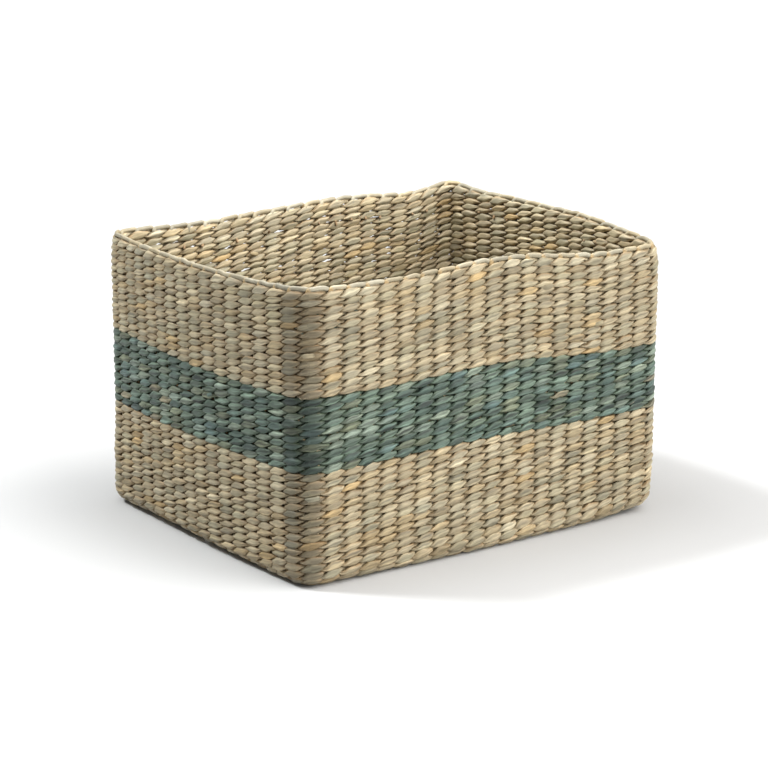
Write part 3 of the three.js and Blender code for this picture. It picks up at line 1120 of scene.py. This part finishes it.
def soft_light(name, plan_angle, elevation, strength, spread, colour):
    """One of the suns, with its angles in degrees."""
    light = bpy.data.lights.new(name, "SUN")
    light.angle = math.radians(spread)
    light.energy = strength
    light.color = colour
    plan, up = math.radians(plan_angle), math.radians(elevation)
    source = Vector((math.cos(plan) * math.cos(up), math.sin(plan) * math.cos(up), math.sin(up)))
    added(name, light).rotation_euler = (-source).to_track_quat("-Z", "Y").to_euler()


def inside_light():
    """A soft lamp over the open top."""
    light = bpy.data.lights.new("inside_light", "AREA")
    light.shape = "DISK"
    light.size = INSIDE_LIGHT_SIZE
    light.energy = INSIDE_LIGHT_POWER
    added("inside_light", light).location = (0, 0, INSIDE_LIGHT_HEIGHT)


def build_lights():
    world = bpy.data.worlds.new("studio")
    bpy.context.scene.world = world
    world.use_nodes = True
    background = world.node_tree.nodes["Background"]
    background.inputs["Color"].default_value = (1.0, 1.0, 1.0, 1)
    background.inputs["Strength"].default_value = WORLD_STRENGTH
    for sun in SUNS:
        soft_light(*sun)
    inside_light()
    bpy.context.scene.view_settings.view_transform = "Standard"


# The camera looks down at the front left corner. Angles in degrees, lens and sensor in mm; its aim is a
# little right of the basket's middle and below it.
CAMERA_AZIMUTH = -35.55
CAMERA_ELEVATION = 14.98
CAMERA_DISTANCE = 2.123
CAMERA_LENS = 116.2
CAMERA_SENSOR = 36.0
AIM_RIGHT = 0.4 * MM
AIM_DOWN = 12.3 * MM


def build_camera():
    azimuth, elevation = math.radians(CAMERA_AZIMUTH), math.radians(CAMERA_ELEVATION)
    level = math.cos(elevation)
    back = Vector((math.sin(azimuth) * level, -math.cos(azimuth) * level, math.sin(elevation)))
    right = Vector((math.cos(azimuth), math.sin(azimuth), 0))
    up = back.cross(right)
    aim = Vector((0, 0, HEIGHT / 2)) + right * AIM_RIGHT - up * AIM_DOWN
    data = bpy.data.cameras.new("camera")
    data.sensor_width = CAMERA_SENSOR
    data.lens = CAMERA_LENS
    camera = added("camera", data)
    camera.location = aim + back * CAMERA_DISTANCE
    camera.rotation_euler = back.to_track_quat("Z", "Y").to_euler()
    bpy.context.scene.camera = camera


# ---- build


def build_weave():
    natural = seagrass_material("natural_seagrass", roughness=0.55, streaks=0.32, bump=0.4 * MM)
    green = seagrass_material("green_seagrass", roughness=0.5, streaks=0.55, bump=0.4 * MM)
    rng = np.random.default_rng(SEED)

    def natural_courses(rings, scale=1.0):
        return [Course(ring, NATURAL, WARM_EDGE_AND_SHADE, NATURAL_STREAK, scale) for ring in rings]

    upper = natural_courses(wall_rings(TOP_OF_WEAVE, GREEN_HIGH.z, UPPER_COURSES))
    dyed_rings = wall_rings(GREEN_HIGH.z, GREEN_LOW.z, GREEN_COURSES)
    dyed = [Course(ring, GREEN, WARM_EDGE_AND_SHADE_GREEN, GREEN_STREAK) for ring in dyed_rings]
    lower = natural_courses(wall_rings(GREEN_LOW.z, EDGE_RADIUS, LOWER_COURSES))
    base = natural_courses(edge_rings(), EDGE_SCALE) + natural_courses(floor_rings(), FLOOR_SCALE)
    top_ring = upper[0].ring
    upper[0] = Course(top_ring, FIRST_ROW, WARM_EDGE_AND_SHADE, NATURAL_STREAK, FIRST_ROW_SCALE, FIRST_ROW_LEAN)
    open_slits(upper + dyed + lower, rng)
    weave_band("weft_upper", upper, natural, "natural_seagrass", "upper_natural_band", rng)
    weave_band("weft_green", dyed, green, "green_seagrass", "green_band", rng)
    weave_band("weft_lower", lower, natural, "natural_seagrass", "lower_natural_band", rng)
    weave_band("weft_base", base, natural, "natural_seagrass", "base_weave", rng)


def build_stakes():
    material = seagrass_material("stake_seagrass", roughness=0.7, streaks=0.35, bump=0.3 * MM)
    rng = np.random.default_rng(SEED + 1)
    for name, nodes, places, along_x in (
        ("cross_stakes", CROSS_STAKES, STAKES_X, False),
        ("long_stakes", LONG_STAKES, STAKES_Y, True),
    ):
        skin = Skin()
        for place in places:
            add_stake(skin, place, along_x, rng)
        skin.build(name, material, "stake_seagrass", nodes)


def build_border():
    material = seagrass_material("rim_seagrass", roughness=0.55, streaks=0.16, bump=0.25 * MM)
    rng = np.random.default_rng(SEED + 2)
    ring = Ring(WALL / 2, HEIGHT, 0.0)
    border, stubs = Skin(), Skin()
    for stake in range(ring.count):
        add_border_strip(border, ring, stake, rng)
        if rng.random() < STUB_SHARE:
            add_stub(stubs, ring, stake, rng)
    border.build("rim_strips", material, "rim_seagrass", ["rim_border"])
    stubs.build("trimmed_ends", material, "stake_seagrass", ["rim_border"])


def build_trimmings():
    material = seagrass_material("loose_seagrass", roughness=0.6, streaks=0.2, bump=0.2 * MM)
    rng = np.random.default_rng(SEED + 3)
    ring = Ring(WALL / 2, HEIGHT / 2, 0.0)
    fibres, tails, green_tails = Skin(), Skin(), Skin()
    for _ in range(FIBRE_COUNT):
        add_loose_fibre(fibres, ring, rng)
    for _ in range(TAIL_COUNT):
        add_spliced_tail(tails, ring, NATURAL, 20 * MM, GREEN_LOW.z - 5 * MM, rng)
        add_spliced_tail(tails, ring, NATURAL, GREEN_HIGH.z + 5 * MM, HEIGHT - 14 * MM, rng)
        add_spliced_tail(green_tails, ring, GREEN, GREEN_LOW.z + 3 * MM, GREEN_HIGH.z - 3 * MM, rng)
    fibres.build("loose_fibres", material, "natural_seagrass", [])
    tails.build("natural_tails", material, "natural_seagrass", [])
    green_tails.build("green_tails", material, "green_seagrass", [])


build_weave()
build_stakes()
build_border()
build_trimmings()
build_floor()
build_lights()
build_camera()
